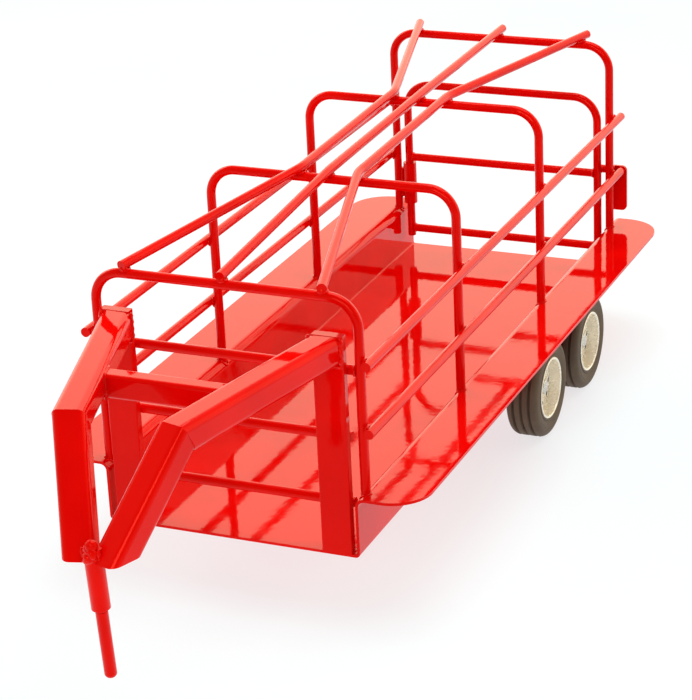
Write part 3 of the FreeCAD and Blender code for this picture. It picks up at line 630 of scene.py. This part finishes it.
def make_rim_trim(label, body, centre, sign, lip, rim, places):
    """The rim's rolled lip, hub collar, window edges and wheel nuts."""
    build = bmesh.new()
    around_lip = [2 * math.pi * step / 14 for step in range(14)]
    add_lathe(build, [(lip + LIP_BEAD * math.cos(a), rim - 0.5 * MM + LIP_BEAD * math.sin(a))
                      for a in around_lip], centre, sign)
    add_lathe(build, [(x * MM, radius * MM) for x, radius in COLLAR], centre, sign)
    for window, facing in places:
        edge = ring_points(window, facing, 1.6 * MM, count=24)
        add_bead(build, edge, 0.36 * MM, closed=True, ripple=0)
    for step in range(WINDOWS):
        turn = 2 * math.pi * (step + 0.5) / WINDOWS
        nut = centre + Vector((sign * NUT_SEAT, NUT_CIRCLE * math.cos(turn), NUT_CIRCLE * math.sin(turn)))
        add_lump(build, nut, (0.8 * MM, 0.6 * MM, 0.6 * MM), step)
    make_piece(f"rim_trim_{label}", build, RIM, body)


def make_wheel(along, side):
    """Looks of one wheel: its tyre, and the windows and trim of its rim."""
    label, sign, body = f"{along}_{side}", SIDES[side], f"wheel_{along}_{side}"
    tyre_size = high(f"tyre_{label}") - low(f"tyre_{label}")
    centre = middle(f"tyre_{label}")
    half, tread = tyre_size.x / 2, tyre_size.z / 2
    rim = (high(f"rim_{label}").z - low(f"rim_{label}").z) / 2
    make_tyre(label, body, centre, sign, tyre_outline(half, rim, tread))
    places = window_places(centre, sign)
    make_windows(label, body, places)
    make_rim_trim(label, body, centre, sign, half - LIP_INSET, rim, places)


# --- studio and camera ---------------------------------------------------------------------------

def make_camera():
    """Long lens, turned 24 degrees from the nose and looking down 23 degrees, tilted slightly."""
    azimuth, elevation, roll = (math.radians(value) for value in (24.03, 22.68, -2.74))
    lens, distance = 126.6, 0.900
    aim = Vector((0.0627, -0.1314, 0.1226))
    ahead = Vector((-math.sin(azimuth) * math.cos(elevation), math.cos(azimuth) * math.cos(elevation),
                    -math.sin(elevation)))
    level = Vector((math.cos(azimuth), math.sin(azimuth), 0))
    above = level.cross(ahead)
    right = level * math.cos(roll) + above * math.sin(roll)
    upward = above * math.cos(roll) - level * math.sin(roll)
    data = bpy.data.cameras.new("camera")
    data.lens = lens
    data.clip_start, data.clip_end = 0.05, 20
    camera = bpy.data.objects.new("camera", data)
    camera.matrix_world = Matrix((right, upward, -ahead)).transposed().to_4x4()
    camera.matrix_world.translation = aim - ahead * distance
    bpy.context.scene.collection.objects.link(camera)
    bpy.context.scene.camera = camera


def make_floor():
    """Plain square sheet at ground level."""
    half = 6.0
    corners = ((-half, -half), (half, -half), (half, half), (-half, half))
    build = bmesh.new()
    build.faces.new([build.verts.new((x, y, 0)) for x, y in corners])
    mesh = bpy.data.meshes.new("floor")
    build.to_mesh(mesh)
    build.free()
    mesh.materials.append(studio_floor())
    floor = bpy.data.objects.new("floor", mesh)
    bpy.context.scene.collection.objects.link(floor)


def add_softbox(name, place, aim, width, depth, power):
    """Rectangular light, its size in metres and its power in watts."""
    data = bpy.data.lights.new(name, "AREA")
    data.shape, data.size, data.size_y, data.energy = "RECTANGLE", width, depth, power
    light = bpy.data.objects.new(name, data)
    light.location = place
    light.rotation_euler = (Vector(aim) - Vector(place)).to_track_quat("-Z", "Y").to_euler()
    bpy.context.scene.collection.objects.link(light)


def make_world():
    """Warm white surround: bright low behind the trailer, dimmer overhead and behind the camera."""
    warm_white = (1.0, 0.93, 0.70, 1)
    fades = (("Y", -0.35, 0.45, 0.45, 1.9), ("Z", 0.50, 0.80, 1.0, 0.38))   # axis, from, to, strengths there
    world = bpy.data.worlds.new("studio")
    world.use_nodes = True
    tree = world.node_tree
    place = tree.nodes.new("ShaderNodeTexCoord")
    split = tree.nodes.new("ShaderNodeSeparateXYZ")
    tree.links.new(place.outputs["Generated"], split.inputs[0])
    glow = tree.nodes.new("ShaderNodeMath")
    glow.operation = "MULTIPLY"
    for index, (axis, start, finish, first, last) in enumerate(fades):
        fade = tree.nodes.new("ShaderNodeMapRange")
        fade.interpolation_type = "SMOOTHSTEP"
        for name, value in (("From Min", start), ("From Max", finish), ("To Min", first), ("To Max", last)):
            fade.inputs[name].default_value = value
        tree.links.new(split.outputs[axis], fade.inputs["Value"])
        tree.links.new(fade.outputs["Result"], glow.inputs[index])
    tree.links.new(glow.outputs[0], tree.nodes["Background"].inputs["Strength"])
    tree.nodes["Background"].inputs["Color"].default_value = warm_white
    bpy.context.scene.world = world


def make_studio():
    """Camera, floor, surround and three soft lights, with plain colours."""
    make_camera()
    make_floor()
    make_world()
    add_softbox("overhead", (0.10, 0.15, 1.25), (0, 0, 0.05), 1.0, 0.8, 9.0)
    add_softbox("side_fill", (-1.1, 0.35, 0.75), (0, 0, 0.06), 0.8, 0.6, 3.0)
    add_softbox("front_fill", (0.15, -1.5, 0.55), (0, 0, 0.07), 0.9, 0.5, 7.0)
    view = bpy.context.scene.view_settings
    view.view_transform = "Standard"
    view.look = "None"


def main():
    """Paints the CAD nodes, adds the pieces round them, and builds the studio."""
    paint_nodes()
    weld_hoops()
    weld_neck()
    weld_cross_tube()
    weld_coupler()
    weld_front_frame()
    weld_gate()
    weld_hinge()
    weld_axles()
    for along, side in WHEELS:
        make_wheel(along, side)
    make_studio()


main()
